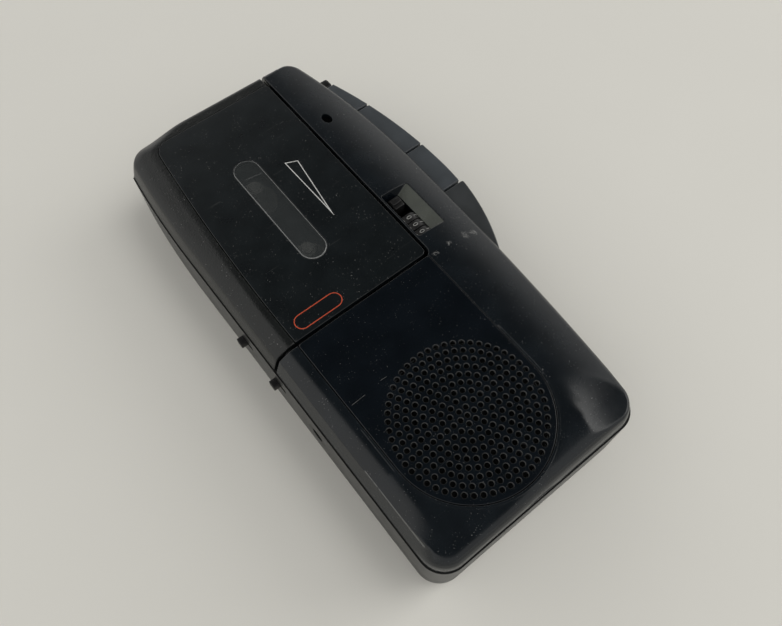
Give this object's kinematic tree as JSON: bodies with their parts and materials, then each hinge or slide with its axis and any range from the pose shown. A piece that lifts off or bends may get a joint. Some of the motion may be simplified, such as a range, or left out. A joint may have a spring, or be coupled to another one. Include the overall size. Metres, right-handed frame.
{
  "type": "microcassette recorder",
  "caption": "Pocket microcassette voice recorder with a windowed cassette door, round speaker grille, tape counter and a row of side buttons",
  "frame": {"origin": "bottom centre of the overall box, with the recorder lying on its back", "axes": "+Z out of the front face, +Y towards the microphone end, +X towards the buttons"},
  "size_m": [0.064, 0.1208, 0.024],
  "materials": {
    "case_dark": "fine moulded texture",
    "panel_dark": "satin",
    "grille_dark": "satin gloss",
    "button_grey": "satin",
    "window_smoke": "smoked clear",
    "black_plastic": "satin",
    "black_rubber": "matte",
    "bright_steel": "ground",
    "plated_steel": "zinc plated",
    "can_metal": "turned",
    "yellow_brass": "turned",
    "pale_plastic": "smooth",
    "cone_paper": "pressed paper",
    "board_green": "lacquered",
    "cell_wrap": "printed sleeve, left plain"
  },
  "bodies": {
    "case": {"rear_shell": "case_dark", "front_shell": "case_dark", "grille_plate": "grille_dark", "speaker_frame": "plated_steel", "speaker_magnet": "plated_steel", "speaker_cone": "cone_paper", "deck_plate": "plated_steel", "deck_screws": "bright_steel", "case_screws": "bright_steel", "motor_body": "can_metal", "drive_belt": "black_rubber", "capstan_bearing": "yellow_brass", "reel_posts": "bright_steel", "circuit_board": "board_green", "hinge_pin": "bright_steel", "record_spring": "bright_steel", "play_spring": "bright_steel", "stop_spring": "bright_steel", "lever_pin": "bright_steel", "counter_frame": "black_plastic", "counter_shaft": "bright_steel", "volume_pot": "plated_steel", "ear_jack": "black_plastic", "mic_jack": "black_plastic", "dc_jack": "black_plastic", "microphone_capsule": "can_metal", "microphone_boot": "black_rubber", "battery_cells": "cell_wrap", "battery_contacts": "plated_steel"},
    "door": {"cassette_door": "case_dark", "door_panel": "panel_dark", "door_window": "window_smoke", "cassette_spring": "bright_steel"},
    "flywheel_unit": {"flywheel": "can_metal", "capstan": "bright_steel"},
    "motor_rotor": {"motor_pulley": "yellow_brass"},
    "idler": {"idler_wheel": "black_rubber"},
    "takeup": {"takeup_reel": "pale_plastic"},
    "supply": {"supply_reel": "pale_plastic"},
    "heads": {"head_bracket": "plated_steel", "record_head": "bright_steel", "erase_head": "black_plastic"},
    "roller": {"pinch_roller": "black_rubber"},
    "record_key": {"record_button": "button_grey"},
    "play_key": {"play_button": "button_grey"},
    "stop_key": {"stop_button": "button_grey"},
    "wind_key": {"wind_lever": "case_dark"},
    "pause_key": {"pause_switch": "case_dark"},
    "speed_key": {"tape_speed_switch": "case_dark"},
    "voice_key": {"voice_switch": "case_dark"},
    "units": {"counter_units": "black_plastic"},
    "tens": {"counter_tens": "black_plastic"},
    "hundreds": {"counter_hundreds": "black_plastic"},
    "reset_key": {"reset_button": "black_plastic"},
    "volume": {"volume_dial": "black_plastic"},
    "cover": {"battery_cover": "case_dark"}
  },
  "joints": [
    {"name": "door_hinge", "type": "hinge", "parent": "case", "child": "door", "pos_m": [-0.009, 0.0574, 0.0197], "axis": [-1, 0, 0], "range_deg": [0, 60]},
    {"name": "record_press", "type": "slide", "parent": "case", "child": "record_key", "axis": [-1, 0, 0], "range_m": [0, 0.002], "stiffness_N_per_m": 300, "springref_m": -0.0008, "deforming": ["record_spring"]},
    {"name": "play_press", "type": "slide", "parent": "case", "child": "play_key", "axis": [-1, 0, 0], "range_m": [0, 0.002], "stiffness_N_per_m": 300, "springref_m": -0.0008, "deforming": ["play_spring"]},
    {"name": "stop_press", "type": "slide", "parent": "case", "child": "stop_key", "axis": [-1, 0, 0], "range_m": [0, 0.002], "stiffness_N_per_m": 300, "springref_m": -0.0008, "deforming": ["stop_spring"]},
    {"name": "head_slide", "type": "slide", "parent": "case", "child": "heads", "axis": [-1, 0, 0], "range_m": [0, 0.002]},
    {"name": "roller_spin", "type": "hinge", "parent": "heads", "child": "roller", "pos_m": [0.0097, 0.0104, 0.0168], "axis": [0, 0, 1], "continuous": true},
    {"name": "wind_rock", "type": "hinge", "parent": "case", "child": "wind_key", "pos_m": [0.0222, -0.0043, 0.0132], "axis": [0, 0, 1], "range_deg": [-2.4, 2.4], "stiffness_Nm_per_rad": 0.05},
    {"name": "pause_slide", "type": "slide", "parent": "case", "child": "pause_key", "axis": [0, 1, 0], "range_m": [0, 0.001]},
    {"name": "speed_slide", "type": "slide", "parent": "case", "child": "speed_key", "axis": [0, -1, 0], "range_m": [0, 0.0016]},
    {"name": "voice_slide", "type": "slide", "parent": "case", "child": "voice_key", "axis": [0, -1, 0], "range_m": [0, 0.0016]},
    {"name": "reset_press", "type": "slide", "parent": "case", "child": "reset_key", "axis": [0, 0, -1], "range_m": [0, 0.0012], "stiffness_N_per_m": 50, "springref_m": -0.0004},
    {"name": "volume_turn", "type": "hinge", "parent": "case", "child": "volume", "pos_m": [-0.0115, 0.0528, 0.008], "axis": [0, 0, 1], "range_deg": [0, 270]},
    {"name": "cover_slide", "type": "slide", "parent": "case", "child": "cover", "axis": [0, -1, 0], "range_m": [0, 0.036]},
    {"name": "flywheel_spin", "type": "hinge", "parent": "case", "child": "flywheel_unit", "pos_m": [0.0042, 0.0104, 0.0035], "axis": [0, 0, 1], "continuous": true},
    {"name": "motor_spin", "type": "hinge", "parent": "case", "child": "motor_rotor", "pos_m": [-0.0178, 0.036, 0.0035], "axis": [0, 0, 1], "continuous": true},
    {"name": "idler_spin", "type": "hinge", "parent": "case", "child": "idler", "pos_m": [-0.00074, 0.01113, 0.014], "axis": [0, 0, 1], "continuous": true},
    {"name": "takeup_spin", "type": "hinge", "parent": "case", "child": "takeup", "pos_m": [-0.00805, 0.0122, 0.014], "axis": [0, 0, 1], "continuous": true},
    {"name": "supply_spin", "type": "hinge", "parent": "case", "child": "supply", "pos_m": [-0.00805, 0.0337, 0.014], "axis": [0, 0, 1], "continuous": true},
    {"name": "units_spin", "type": "hinge", "parent": "case", "child": "units", "pos_m": [0.0137, -0.0015, 0.0195], "axis": [0, 1, 0], "continuous": true},
    {"name": "tens_spin", "type": "hinge", "parent": "case", "child": "tens", "pos_m": [0.0137, 0.0008, 0.0195], "axis": [0, 1, 0], "continuous": true},
    {"name": "hundreds_spin", "type": "hinge", "parent": "case", "child": "hundreds", "pos_m": [0.0137, 0.0031, 0.0195], "axis": [0, 1, 0], "continuous": true}
  ],
  "couplings": [
    {"joint": "head_slide", "follows": "play_press", "ratio": 1},
    {"joint": "motor_spin", "follows": "flywheel_spin", "ratio": 4.7917},
    {"joint": "idler_spin", "follows": "flywheel_spin", "ratio": -0.81761},
    {"joint": "takeup_spin", "follows": "flywheel_spin", "ratio": 0.47826},
    {"joint": "units_spin", "follows": "flywheel_spin", "ratio": 0.1},
    {"joint": "tens_spin", "follows": "flywheel_spin", "ratio": 0.01},
    {"joint": "hundreds_spin", "follows": "flywheel_spin", "ratio": 0.001}
  ]
}
